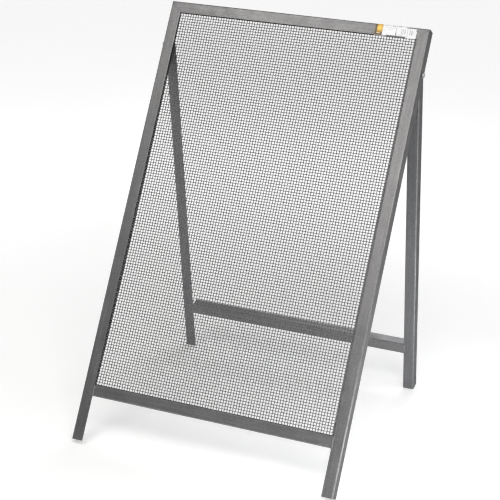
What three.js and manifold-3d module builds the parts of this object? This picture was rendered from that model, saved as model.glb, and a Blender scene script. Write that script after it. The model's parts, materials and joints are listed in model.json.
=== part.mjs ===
// Folding throw screen for sand, soil and gravel: a sieve panel of woven wire in an angle-iron frame,
// leaning back on a rear leg frame that is bolted to it near the top and folds in behind it.
// Millimetres, +Z up. The screen side faces -Y. The origin is on the ground, midway between the two
// stiles and midway between the front edge of the front feet and the back edge of the rear feet.
import * as THREE from "three";
import { mergeVertices } from "three/addons/utils/BufferGeometryUtils.js";
import Module from "manifold-3d";

// ---- driving dimensions ----
const FRAME_WIDTH = 600; // over the outer faces of the two stiles
const STILE_LENGTH = 1000; // along the lean, foot to top
const ANGLE_LEG = 25; // equal angle 25 x 25 x 3
const ANGLE_THICK = 3;
const HEEL_RADIUS = 3.2; // outer bend of the angle
const HEEL_STEPS = 4;
const LEAN_DEG = 29.34; // front frame from the vertical
const SPREAD_DEG = 9.86; // rear legs from the vertical
const BOTTOM_RAIL_UP = 99; // underside of the bottom rail, measured up the stile
const JOINT_GAP = 0.3; // clearance where two pieces meet
const PIVOT_UP = 902; // pivot bolt, measured up the stile
const PIVOT_BACK = 12.5; // pivot bolt behind the front face of the stile
const LEG_PIVOT_IN = 6.2; // pivot behind the front face of the rear leg
const LEG_ABOVE = 12; // rear leg above the pivot
const LEG_NOTCH_BELOW = 8; // the pocket for the nut in the leg's front flange starts this far below the pivot
const LEG_POCKET_FROM = 281; // and reaches this far in from the outer face, leaving a tongue
const LEG_TONGUE_STOP = 6; // the tongue is clipped this far in front of the pivot, clear of the screen
const CROSSBAR_UP = 98; // underside of the crossbar, measured up the rear leg
const BOLT_D = 6; // M6
const HOLE_D = 6.6;
const HEX_AF = 10;
const HEAD_H = 4;
const NUT_H = 6;
const WASHER_D = 12;
const WASHER_H = 1.6;
const BOLT_REACH = 19; // shank length under the head
const SCREEN_HALF_W = 291;
const SCREEN_LOW = 103;
const SCREEN_HIGH = 996;
const SCREEN_FRONT = ANGLE_THICK + JOINT_GAP;
const SCREEN_THICK = 2.5; // two crossing wires
const SCREEN_BARS_ACROSS = 13; // upright bars that stand for the woven wires
const SCREEN_BARS_UP = 19; // level bars
const SCREEN_BAR_W = 9.4; // wide enough to hold the steel of all the woven wires
const SCREEN_BAR_T = 1.7;
const LABEL_FROM = 180;
const LABEL_TO = 271;
const LABEL_T = 0.3;

// ---- derived ----
const rad = THREE.MathUtils.degToRad;
const lean = rad(LEAN_DEG);
const spread = rad(SPREAD_DEG);
const openAngle = lean + spread;
const half = FRAME_WIDTH / 2;
const footLift = ANGLE_LEG * Math.sin(lean); // the front feet stand on the back corner of their cut end
// a point of the front frame, given (x, back, up) along its own axes
const frontToWorld = (back, up) => [
  up * Math.sin(lean) + back * Math.cos(lean),
  footLift + up * Math.cos(lean) - back * Math.sin(lean),
];
const [pivotY, pivotZ] = frontToWorld(PIVOT_BACK, PIVOT_UP);
// the rear leg from the pivot to its foot: it stands on the front edge of its cut end
const legBelow =
  (pivotZ - LEG_PIVOT_IN * Math.sin(spread)) / Math.cos(spread); // 803 mm
// the back edge of the rear foot
const rearFootY =
  pivotY +
  (ANGLE_LEG - LEG_PIVOT_IN) * Math.cos(spread) +
  legBelow * Math.sin(spread);
const originY = rearFootY / 2;

// ---- solid helpers ----
const wasm = await Module();
wasm.setup();

function solid(geometry) {
  const g = geometry.clone();
  for (const n of ["normal", "uv", "uv1"]) g.deleteAttribute(n);
  const m = mergeVertices(g, 1e-4);
  return new wasm.Manifold(
    new wasm.Mesh({
      numProp: 3,
      vertProperties: new Float32Array(m.attributes.position.array),
      triVerts: new Uint32Array(m.index.array),
    }),
  );
}

function geometryOf(made) {
  const m = made.getMesh();
  const g = new THREE.BufferGeometry();
  const p = new Float32Array(m.numVert * 3);
  for (let i = 0; i < m.numVert; i++)
    p.set(m.vertProperties.subarray(i * m.numProp, i * m.numProp + 3), i * 3);
  g.setAttribute("position", new THREE.BufferAttribute(p, 3));
  g.setIndex(new THREE.BufferAttribute(new Uint32Array(m.triVerts), 1));
  const flat = g.toNonIndexed();
  flat.computeVertexNormals();
  return flat;
}

// a closed outline of [a, b] points pushed along the third axis from c0 to c1
function prism(points, c0, c1) {
  const shape = new THREE.Shape(points.map(([a, b]) => new THREE.Vector2(a, b)));
  return new THREE.ExtrudeGeometry(shape, {
    depth: c1 - c0,
    bevelEnabled: false,
    steps: 1,
    curveSegments: 1,
  }).translate(0, 0, c0);
}
const uprightFrom = (points, z0, z1) => prism(points, z0, z1); // outline in X, Y
const levelFrom = (points, x0, x1) =>
  prism(points, x0, x1).applyMatrix4(
    // outline in Y, Z pushed along X
    new THREE.Matrix4().set(0, 0, 1, 0, 1, 0, 0, 0, 0, 1, 0, 0, 0, 0, 0, 1),
  );
const deepFrom = (points, y0, y1) =>
  prism(points, -y1, -y0).applyMatrix4(
    // outline in X, Z pushed along Y
    new THREE.Matrix4().set(1, 0, 0, 0, 0, 0, -1, 0, 0, 1, 0, 0, 0, 0, 0, 1),
  );
const boxOf = (x0, x1, y0, y1, z0, z1) =>
  new THREE.BoxGeometry(x1 - x0, y1 - y0, z1 - z0).translate(
    (x0 + x1) / 2,
    (y0 + y1) / 2,
    (z0 + z1) / 2,
  );
// a round bar along X
const barX = (r, x0, x1, y, z, sides = 24) =>
  new THREE.CylinderGeometry(r, r, x1 - x0, sides)
    .rotateZ(-Math.PI / 2)
    .translate((x0 + x1) / 2, y, z);
// a hexagonal prism along X with two flats level
const hexX = (af, x0, x1, y, z) => {
  const r = af / Math.sqrt(3);
  return new THREE.CylinderGeometry(r, r, x1 - x0, 6)
    .rotateY(Math.PI / 6)
    .rotateZ(-Math.PI / 2)
    .translate((x0 + x1) / 2, y, z);
};

// angle section: heel at (a, b), one flange runs along +-a, the other along +-b
function angleSection(a, b, da, db, leg = ANGLE_LEG, t = ANGLE_THICK) {
  const c = HEEL_RADIUS;
  const pts = [
    [a + da * c, b],
    [a + da * leg, b],
    [a + da * leg, b + db * t],
    [a + da * t, b + db * t],
    [a + da * t, b + db * leg],
    [a, b + db * leg],
    [a, b + db * c],
  ];
  for (let i = 1; i < HEEL_STEPS; i++) {
    const turn = ((i / HEEL_STEPS) * Math.PI) / 2;
    pts.push([a + da * c * (1 - Math.cos(turn)), b + db * c * (1 - Math.sin(turn))]);
  }
  return da * db > 0 ? pts : pts.reverse();
}

const mirrorX = (g) => {
  // mirrored copy with its faces turned back to point out
  const m = g.clone().applyMatrix4(new THREE.Matrix4().makeScale(-1, 1, 1));
  const p = m.attributes.position.array;
  for (let i = 0; i < p.length; i += 9)
    for (let k = 0; k < 3; k++)
      [p[i + 3 + k], p[i + 6 + k]] = [p[i + 6 + k], p[i + 3 + k]];
  m.computeVertexNormals();
  return m;
};

// ---- materials ----
const paint = () =>
  new THREE.MeshStandardMaterial({ color: 0x77777a, roughness: 0.5, metalness: 0.15 });
const zinc = () =>
  new THREE.MeshStandardMaterial({ color: 0x9a9a9c, roughness: 0.4, metalness: 0.9 });
const wireSteel = () =>
  new THREE.MeshStandardMaterial({ color: 0x8c8c8e, roughness: 0.45, metalness: 0.8 });
const paper = () =>
  new THREE.MeshStandardMaterial({ color: 0xf2f0ea, roughness: 0.6, metalness: 0 });

const root = new THREE.Group();
const front = new THREE.Group();
front.rotation.x = -lean;
front.position.set(0, -originY, footLift);
root.add(front);
const rear = new THREE.Group();
rear.rotation.x = spread;
rear.position.set(0, pivotY - originY, pivotZ);
root.add(rear);

function add(group, name, geometry, material) {
  const mesh = new THREE.Mesh(geometry, material);
  mesh.name = name;
  group.add(mesh);
}

// ---- front frame: axes are X, Y back, Z up the stile ----
const mitreGap = (JOINT_GAP / 2) * Math.SQRT2;
// everything above the mitre line of the right-hand top corner
const aboveMitre = solid(
  deepFrom(
    [
      [half - 60, STILE_LENGTH - 60 - mitreGap],
      [half + 20, STILE_LENGTH + 20 - mitreGap],
      [half + 20, STILE_LENGTH + 60],
      [half - 60, STILE_LENGTH + 60],
    ],
    -10,
    ANGLE_LEG + 10,
  ),
);
const rightStile = solid(
  uprightFrom(angleSection(half, 0, -1, 1), 0, STILE_LENGTH),
)
  .subtract(aboveMitre)
  .subtract(solid(barX(HOLE_D / 2, half - 10, half + 10, PIVOT_BACK, PIVOT_UP)));
const stileGeometry = geometryOf(rightStile);
add(front, "right_stile", stileGeometry, paint());
add(front, "left_stile", mirrorX(stileGeometry), paint());

// top rail: mitred at both ends, flange along the top edge
const belowMitre = solid(
  deepFrom(
    [
      [half - 60, STILE_LENGTH - 60 + mitreGap],
      [half - 60, STILE_LENGTH - 90],
      [half + 20, STILE_LENGTH - 90],
      [half + 20, STILE_LENGTH + 20 + mitreGap],
    ],
    -10,
    ANGLE_LEG + 10,
  ),
);
const belowMitreLeft = solid(
  deepFrom(
    [
      [-(half - 60), STILE_LENGTH - 60 + mitreGap],
      [-(half + 20), STILE_LENGTH + 20 + mitreGap],
      [-(half + 20), STILE_LENGTH - 90],
      [-(half - 60), STILE_LENGTH - 90],
    ],
    -10,
    ANGLE_LEG + 10,
  ),
);
add(
  front,
  "top_rail",
  geometryOf(
    solid(levelFrom(angleSection(0, STILE_LENGTH, 1, -1), -half, half))
      .subtract(belowMitre)
      .subtract(belowMitreLeft),
  ),
  paint(),
);

// bottom rail: cut square, between the front flanges of the stiles, flange along the lower edge
const railEnd = half - ANGLE_LEG - JOINT_GAP;
add(
  front,
  "bottom_rail",
  levelFrom(angleSection(0, BOTTOM_RAIL_UP, 1, 1), -railEnd, railEnd),
  paint(),
);

// woven screen, simplified: flat bars in two crossing layers stand for the fine wires
let screen = null;
for (let i = 0; i < SCREEN_BARS_ACROSS; i++) {
  const reach = SCREEN_HALF_W - SCREEN_BAR_W / 2;
  const x = -reach + (2 * reach * i) / (SCREEN_BARS_ACROSS - 1);
  const bar = solid(
    boxOf(
      x - SCREEN_BAR_W / 2,
      x + SCREEN_BAR_W / 2,
      SCREEN_FRONT,
      SCREEN_FRONT + SCREEN_BAR_T,
      SCREEN_LOW,
      SCREEN_HIGH,
    ),
  );
  screen = screen ? screen.add(bar) : bar;
}
for (let i = 0; i < SCREEN_BARS_UP; i++) {
  const low = SCREEN_LOW + SCREEN_BAR_W / 2 + 0.5;
  const high = SCREEN_HIGH - SCREEN_BAR_W / 2 - 0.5;
  const z = low + ((high - low) * i) / (SCREEN_BARS_UP - 1);
  screen = screen.add(
    solid(
      boxOf(
        -SCREEN_HALF_W - 0.5,
        SCREEN_HALF_W + 0.5,
        SCREEN_FRONT + SCREEN_THICK - SCREEN_BAR_T,
        SCREEN_FRONT + SCREEN_THICK,
        z - SCREEN_BAR_W / 2,
        z + SCREEN_BAR_W / 2,
      ),
    ),
  );
}
add(front, "wire_screen", geometryOf(screen), wireSteel());

// paper label on the face of the top rail, at its right-hand end: turned under the lower edge, its top on the bend
const labelLow = STILE_LENGTH - ANGLE_LEG - JOINT_GAP;
const wrapped = (off, turns) =>
  turns.map((deg) => [
    HEEL_RADIUS - (HEEL_RADIUS + off) * Math.cos((deg * Math.PI) / 180),
    STILE_LENGTH - HEEL_RADIUS + (HEEL_RADIUS + off) * Math.sin((deg * Math.PI) / 180),
  ]);
add(
  front,
  "label",
  levelFrom(
    [
      ...wrapped(JOINT_GAP + LABEL_T, [45, 30, 15, 0]),
      [-JOINT_GAP - LABEL_T, labelLow - LABEL_T],
      [ANGLE_THICK - 0.2, labelLow - LABEL_T],
      [ANGLE_THICK - 0.2, labelLow],
      [-JOINT_GAP, labelLow],
      ...wrapped(JOINT_GAP, [0, 15, 30, 45]),
    ],
    LABEL_FROM,
    LABEL_TO,
  ),
  paper(),
);

// ---- pivot hardware, one set at each side; axes as the front frame ----
const headFrom = half + JOINT_GAP;
const bolt = geometryOf(
  solid(hexX(HEX_AF, headFrom, headFrom + HEAD_H, PIVOT_BACK, PIVOT_UP)).add(
    solid(barX(BOLT_D / 2, headFrom - BOLT_REACH, headFrom + 0.5, PIVOT_BACK, PIVOT_UP)),
  ),
);
add(front, "right_pivot_bolt", bolt, zinc());
add(front, "left_pivot_bolt", mirrorX(bolt), zinc());

const legOuter = half - ANGLE_THICK - JOINT_GAP;
const legInner = legOuter - ANGLE_THICK;
const washerTo = legInner - JOINT_GAP;
const washer = geometryOf(
  solid(barX(WASHER_D / 2, washerTo - WASHER_H, washerTo, PIVOT_BACK, PIVOT_UP, 32)).subtract(
    solid(barX(HOLE_D / 2, washerTo - 10, washerTo + 10, PIVOT_BACK, PIVOT_UP)),
  ),
);
add(front, "right_pivot_washer", washer, zinc());
add(front, "left_pivot_washer", mirrorX(washer), zinc());

const nutTo = washerTo - WASHER_H - JOINT_GAP;
const nut = geometryOf(
  solid(hexX(HEX_AF, nutTo - NUT_H, nutTo, PIVOT_BACK, PIVOT_UP)).subtract(
    solid(barX(HOLE_D / 2, nutTo - 20, nutTo + 10, PIVOT_BACK, PIVOT_UP)),
  ),
);
add(front, "right_lock_nut", nut, zinc());
add(front, "left_lock_nut", mirrorX(nut), zinc());

// ---- rear leg frame: origin at the pivot, Y back, Z up the leg ----
// the clipped top corner lies flat against the back of the stile's front flange when the screen stands open
const stopDistance = PIVOT_BACK - ANGLE_THICK - JOINT_GAP;
const clipAt = (x, distance) =>
  solid(
    new THREE.BoxGeometry(80, 80, 40)
      .translate(0, 0, 20 + distance)
      .rotateX(Math.PI / 2 - openAngle)
      .translate(x, 0, 0),
  );
const rightLeg = solid(
  uprightFrom(angleSection(legOuter, -LEG_PIVOT_IN, -1, 1), -legBelow, LEG_ABOVE),
)
  .subtract(
    solid(boxOf(LEG_POCKET_FROM, legInner, -40, 40, -LEG_NOTCH_BELOW, LEG_ABOVE + 10)),
  )
  .subtract(clipAt(half, stopDistance))
  .subtract(clipAt(LEG_POCKET_FROM - 40, LEG_TONGUE_STOP))
  .subtract(solid(barX(HOLE_D / 2, legOuter - 10, legOuter + 10, 0, 0)));
const legGeometry = geometryOf(rightLeg);
add(rear, "rear_right_leg", legGeometry, paint());
add(rear, "rear_left_leg", mirrorX(legGeometry), paint());

// crossbar: cut square, between the front flanges of the rear legs, flange along the top edge
const crossEnd = legOuter - ANGLE_LEG - JOINT_GAP;
const crossTop = -legBelow + CROSSBAR_UP + ANGLE_LEG;
add(
  rear,
  "rear_crossbar",
  levelFrom(angleSection(-LEG_PIVOT_IN, crossTop, 1, -1), -crossEnd, crossEnd),
  paint(),
);

export default root;
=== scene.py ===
import json
import math
import random

import bmesh
import bpy
import numpy as np
from mathutils import Matrix, Vector


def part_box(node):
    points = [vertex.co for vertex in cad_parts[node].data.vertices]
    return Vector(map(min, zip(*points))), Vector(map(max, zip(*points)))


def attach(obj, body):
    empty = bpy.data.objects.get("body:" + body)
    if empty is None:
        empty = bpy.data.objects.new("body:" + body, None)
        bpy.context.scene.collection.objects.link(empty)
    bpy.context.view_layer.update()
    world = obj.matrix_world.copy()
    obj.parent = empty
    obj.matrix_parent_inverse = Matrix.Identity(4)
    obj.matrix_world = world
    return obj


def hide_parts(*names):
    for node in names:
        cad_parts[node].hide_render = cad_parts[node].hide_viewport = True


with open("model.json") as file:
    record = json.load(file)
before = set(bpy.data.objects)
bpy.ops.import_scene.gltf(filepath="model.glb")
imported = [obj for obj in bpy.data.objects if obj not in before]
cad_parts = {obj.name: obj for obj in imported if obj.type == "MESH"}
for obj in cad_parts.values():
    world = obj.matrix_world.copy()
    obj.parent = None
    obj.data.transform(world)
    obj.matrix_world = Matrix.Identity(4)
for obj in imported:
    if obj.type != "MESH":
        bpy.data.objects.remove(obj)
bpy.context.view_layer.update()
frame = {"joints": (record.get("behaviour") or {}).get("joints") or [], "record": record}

MM = 0.001

# ---- the frame's own sizes, as in the CAD model, in millimetres ----
LEG, THICK = 25.0, 3.0
HALF, STILE, RAIL_UP = 300.0, 1000.0, 99.0
GAP = 0.3
PIVOT_UP, PIVOT_BACK, LEG_IN = 902.0, 12.5, 6.2
LEG_ABOVE, NOTCH, CROSS_UP = 12.0, 8.0, 98.0
POCKET_FROM, TONGUE_STOP = 281.0, 6.0
SCREEN_X, SCREEN_LOW, SCREEN_HIGH, SCREEN_MID = 291.0, 103.0, 996.0, 4.62
WIRE = 1.62
PITCH_X, PITCH_Z = 6.19, 6.068

# the two frames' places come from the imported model: the lean from the top rail's face, the spread from the legs
mount = next(m for m in frame["record"]["mounts"] if m["name"] == "top_rail_face")
lean = math.atan2(mount["axis"][1], mount["axis"][2])
joint = frame["joints"][0]
pivot = Vector(joint["pos_m"])
# front frame axes: X, Y back, Z up the stile
foot_lift = LEG * MM * math.sin(lean)
origin_y = -(
    PIVOT_UP * MM * math.sin(lean) + PIVOT_BACK * MM * math.cos(lean) - pivot.y
)
FRONT = Matrix.Translation((0, origin_y, foot_lift)) @ Matrix.Rotation(-lean, 4, "X")
leg_lo, leg_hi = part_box("rear_right_leg")
# the rear foot's back corner gives the spread: solve for the angle that puts it on the leg's box
spread = math.radians(9.86)
for _ in range(60):
    below = (pivot.z - LEG_IN * MM * math.sin(spread)) / math.cos(spread)
    y = (
        pivot.y
        + (LEG - LEG_IN) * MM * math.cos(spread)
        + below * math.sin(spread)
    )
    spread += (leg_hi.y - y) / 0.8
LEG_BELOW = below / MM
REAR = Matrix.Translation(pivot) @ Matrix.Rotation(spread, 4, "X")


# ---------------------------------------------------------------- materials
class Nodes:
    """A short way to write a node tree."""

    def __init__(self, name):
        self.mat = bpy.data.materials.new(name)
        self.mat.use_nodes = True
        self.t = self.mat.node_tree
        self.t.nodes.clear()
        self.out = self.t.nodes.new("ShaderNodeOutputMaterial")
        self.bsdf = self.t.nodes.new("ShaderNodeBsdfPrincipled")
        self.link(self.bsdf.outputs[0], self.out.inputs["Surface"])

    def link(self, a, b):
        self.t.links.new(a, b)

    def set(self, **values):
        for k, v in values.items():
            self.bsdf.inputs[k.replace("_", " ")].default_value = v

    def new(self, kind, **inputs):
        n = self.t.nodes.new("ShaderNode" + kind)
        for k, v in inputs.items():
            self.put(n, k.replace("_", " "), v)
        return n

    def put(self, n, key, v):
        s = n.inputs[key]
        if hasattr(v, "is_output") or isinstance(v, bpy.types.NodeSocket):
            self.link(v, s)
        else:
            s.default_value = v

    def coords(self):
        return self.new("TexCoord").outputs["Object"]

    def noise(self, vector, scale, detail=4.0, rough=0.55, stretch=None):
        if stretch is not None:
            m = self.new("Mapping")
            self.link(vector, m.inputs["Vector"])
            m.inputs["Scale"].default_value = stretch
            vector = m.outputs[0]
        n = self.new("TexNoise", Scale=scale, Detail=detail, Roughness=rough)
        self.link(vector, n.inputs["Vector"])
        return n.outputs["Fac"]

    def ramp(self, fac, lo, hi, a=0.0, b=1.0):
        n = self.new("MapRange")
        n.interpolation_type = "SMOOTHSTEP"
        self.link(fac, n.inputs["Value"])
        for k, v in (("From Min", lo), ("From Max", hi), ("To Min", a), ("To Max", b)):
            n.inputs[k].default_value = v
        return n.outputs[0]

    def math(self, op, a, b):
        n = self.t.nodes.new("ShaderNodeMath")
        n.operation = op
        for i, v in enumerate((a, b)):
            if isinstance(v, bpy.types.NodeSocket):
                self.link(v, n.inputs[i])
            else:
                n.inputs[i].default_value = v
        return n.outputs[0]

    def mix(self, fac, a, b):
        n = self.t.nodes.new("ShaderNodeMix")
        n.data_type = "RGBA"
        for i, v in ((0, fac), (6, a), (7, b)):
            if isinstance(v, bpy.types.NodeSocket):
                self.link(v, n.inputs[i])
            elif i:
                n.inputs[i].default_value = (*v, 1.0)
            else:
                n.inputs[i].default_value = v
        return n.outputs[2]

    def attr(self, name, out="Fac"):
        n = self.t.nodes.new("ShaderNodeAttribute")
        n.attribute_name = name
        return n.outputs[out]

    def bump(self, height, strength, distance, normal=None):
        n = self.new("Bump")
        n.inputs["Strength"].default_value = strength
        n.inputs["Distance"].default_value = distance
        self.link(height, n.inputs["Height"])
        if normal is not None:
            self.link(normal, n.inputs["Normal"])
        return n.outputs[0]


def paint_material(name, base, seed, side=0.55, matte=1.0):
    """Sprayed satin grey on rolled steel: soft clouds in the coat, orange peel, thin rubbed edges that also paint a
    highlight along the heel, dust marks, and painted shade on the outer side and toe faces.
    """
    m = Nodes(name)
    c = m.coords()
    cloud = m.noise(c, 9.0 + seed, 3.0, 0.5)
    blot = m.noise(c, 46.0 + 3 * seed, 4.0, 0.6)
    fine = m.noise(c, 620.0, 2.0, 0.5)
    rolled = m.attr("rolled", "Vector")
    streak = m.noise(rolled, 1.0, 3.0, 0.6, stretch=(330.0, 330.0, 7.0))
    hair = m.noise(rolled, 1.0, 2.0, 0.5, stretch=(900.0, 900.0, 26.0))
    col = m.mix(
        m.ramp(cloud, 0.3, 0.7),
        tuple(x * 0.93 for x in base),
        tuple(x * 1.06 for x in base),
    )
    col = m.mix(m.ramp(blot, 0.42, 0.78, 0.0, 0.34), col, tuple(x * 1.22 for x in base))
    mottle = m.noise(c, 210.0, 3.0, 0.6)
    col = m.mix(m.ramp(mottle, 0.34, 0.5, 0.55, 0.0), col, tuple(x * 0.80 for x in base))
    col = m.mix(m.ramp(mottle, 0.5, 0.66, 0.0, 0.55), col, tuple(x * 1.22 for x in base))
    col = m.mix(m.ramp(streak, 0.3, 0.5, 0.5, 0.0), col, tuple(x * 0.72 for x in base))
    col = m.mix(m.ramp(streak, 0.5, 0.7, 0.0, 0.5), col, tuple(x * 1.35 for x in base))
    col = m.mix(m.ramp(hair, 0.5, 0.75, 0.0, 0.3), col, tuple(x * 1.3 for x in base))
    # painted shade: the outer faces of the side flanges are darkened by the side amount
    col = m.mix(m.math("MULTIPLY", m.attr("side"), side), col, (0.0, 0.0, 0.0))
    # painted shade: the toe faces of the flanges are darkened nearly to black
    col = m.mix(m.math("MULTIPLY", m.attr("toe"), 0.7), col, (0.015, 0.015, 0.015))
    # rubbed edges, thin and broken by noise: lighter and more metallic at the cut ends and along the heel, where they
    # also serve as a painted highlight
    edge = m.attr("edge")
    broken = m.noise(c, 190.0, 5.0, 0.65)
    rubbed_edge_and_highlight = m.math("MULTIPLY", m.ramp(edge, 0.35, 1.0), m.ramp(broken, 0.42, 0.62))
    col = m.mix(m.math("MULTIPLY", rubbed_edge_and_highlight, 0.6), col, (0.42, 0.415, 0.40))
    # a few chips down to dark primer
    chip_noise = m.noise(c, 75.0, 6.0, 0.7)
    chips = m.math(
        "MULTIPLY", m.ramp(chip_noise, 0.685, 0.7), m.ramp(edge, 0.02, 0.5, 0.25, 1.0)
    )
    col = m.mix(m.math("MULTIPLY", chips, 0.6), col, (0.055, 0.05, 0.048))
    m.link(col, m.bsdf.inputs["Base Color"])
    rough = m.ramp(m.noise(c, 34.0, 4.0, 0.6), 0.3, 0.7, 0.29, 0.41)
    rough = m.math("ADD", rough, m.math("MULTIPLY", rubbed_edge_and_highlight, -0.08))
    # the same outer side faces are made rougher and less shiny
    side_matte = m.math("MULTIPLY", m.attr("side"), matte)
    rough = m.math("ADD", rough, m.math("MULTIPLY", side_matte, 0.16))
    m.link(rough, m.bsdf.inputs["Roughness"])
    shine = m.math("MAXIMUM", m.ramp(side_matte, 0.0, 1.0, 0.5, 0.15), m.ramp(rubbed_edge_and_highlight, 0.0, 1.0, 0.0, 0.8))
    m.link(shine, m.bsdf.inputs["Metallic"])
    n1 = m.bump(fine, 0.10, 0.0006)
    n2 = m.bump(blot, 0.10, 0.0012, n1)
    n3 = m.bump(m.math("MULTIPLY", chips, -1.0), 0.35, 0.0003, n2)
    m.link(n3, m.bsdf.inputs["Normal"])
    m.set(Specular_IOR_Level=0.5)
    m.link(m.ramp(side_matte, 0.0, 1.0, 0.5, 0.15), m.bsdf.inputs["Specular IOR Level"])
    return m.mat


def wire_material():
    """Drawn steel wire with a thin grey coat: dark flanks as painted shade, a painted highlight on the front- and
    back-facing crowns, darker or lighter from wire to wire.
    """
    m = Nodes("screen_wire_steel")
    c = m.coords()
    cloud = m.noise(c, 7.0, 3.0, 0.55)
    grain = m.noise(c, 420.0, 4.0, 0.6)
    col = m.mix(m.ramp(cloud, 0.3, 0.7), (0.034, 0.034, 0.036), (0.052, 0.052, 0.055))
    col = m.mix(m.math("MULTIPLY", m.attr("shade"), 0.35), col, (0.10, 0.10, 0.102))
    col = m.mix(m.ramp(grain, 0.4, 0.75, 0.0, 0.4), col, (0.12, 0.118, 0.115))
    # painted highlight on the front- and back-facing sides of the crossing knuckles, lighter and more metallic there
    crown_painted_light = m.attr("crown_painted_light")
    painted_crown_highlight = m.math("MULTIPLY", m.ramp(crown_painted_light, 0.55, 1.0), m.ramp(grain, 0.3, 0.6, 0.3, 1.0))
    col = m.mix(m.math("MULTIPLY", painted_crown_highlight, 0.62), col, (0.34, 0.34, 0.35))
    # the bunched border wires: painted light on the right border, painted shade on the left, top and low borders
    tone = m.attr("border")
    col = m.mix(m.math("MAXIMUM", tone, 0.0), col, (0.19, 0.188, 0.19))
    col = m.mix(m.math("MAXIMUM", m.math("MULTIPLY", tone, -1.0), 0.0), col, (0.012, 0.012, 0.012))
    m.link(col, m.bsdf.inputs["Base Color"])
    m.link(m.ramp(grain, 0.3, 0.7, 0.42, 0.58), m.bsdf.inputs["Roughness"])
    m.link(m.ramp(crown_painted_light, 0.4, 1.0, 0.15, 0.35), m.bsdf.inputs["Metallic"])
    m.set(Specular_IOR_Level=0.3)
    m.link(m.bump(grain, 0.15, 0.0002), m.bsdf.inputs["Normal"])
    return m.mat


def zinc_material():
    m = Nodes("fastener_zinc_plate")
    c = m.coords()
    flow = m.noise(c, 240.0, 5.0, 0.65)
    spangle = m.t.nodes.new("ShaderNodeTexVoronoi")
    spangle.inputs["Scale"].default_value = 900.0
    m.link(c, spangle.inputs["Vector"])
    col = m.mix(m.ramp(flow, 0.35, 0.65), (0.30, 0.30, 0.31), (0.44, 0.44, 0.44))
    edge = m.attr("edge")
    col = m.mix(m.math("MULTIPLY", edge, 0.5), col, (0.55, 0.55, 0.54))
    dirt = m.noise(c, 120.0, 4.0, 0.7)
    col = m.mix(m.ramp(dirt, 0.58, 0.75, 0.0, 0.5), col, (0.13, 0.12, 0.11))
    m.link(col, m.bsdf.inputs["Base Color"])
    m.link(m.ramp(spangle.outputs["Distance"], 0.0, 0.6, 0.28, 0.42), m.bsdf.inputs["Roughness"])
    m.set(Metallic=0.85)
    m.link(m.bump(flow, 0.12, 0.0003), m.bsdf.inputs["Normal"])
    return m.mat


def nylon_material():
    m = Nodes("lock_ring_nylon")
    c = m.coords()
    n = m.noise(c, 500.0, 3.0, 0.6)
    m.link(m.mix(m.ramp(n, 0.3, 0.7), (0.10, 0.16, 0.30), (0.13, 0.20, 0.36)), m.bsdf.inputs["Base Color"])
    m.set(Roughness=0.45)
    m.link(m.bump(n, 0.1, 0.0002), m.bsdf.inputs["Normal"])
    return m.mat


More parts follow.
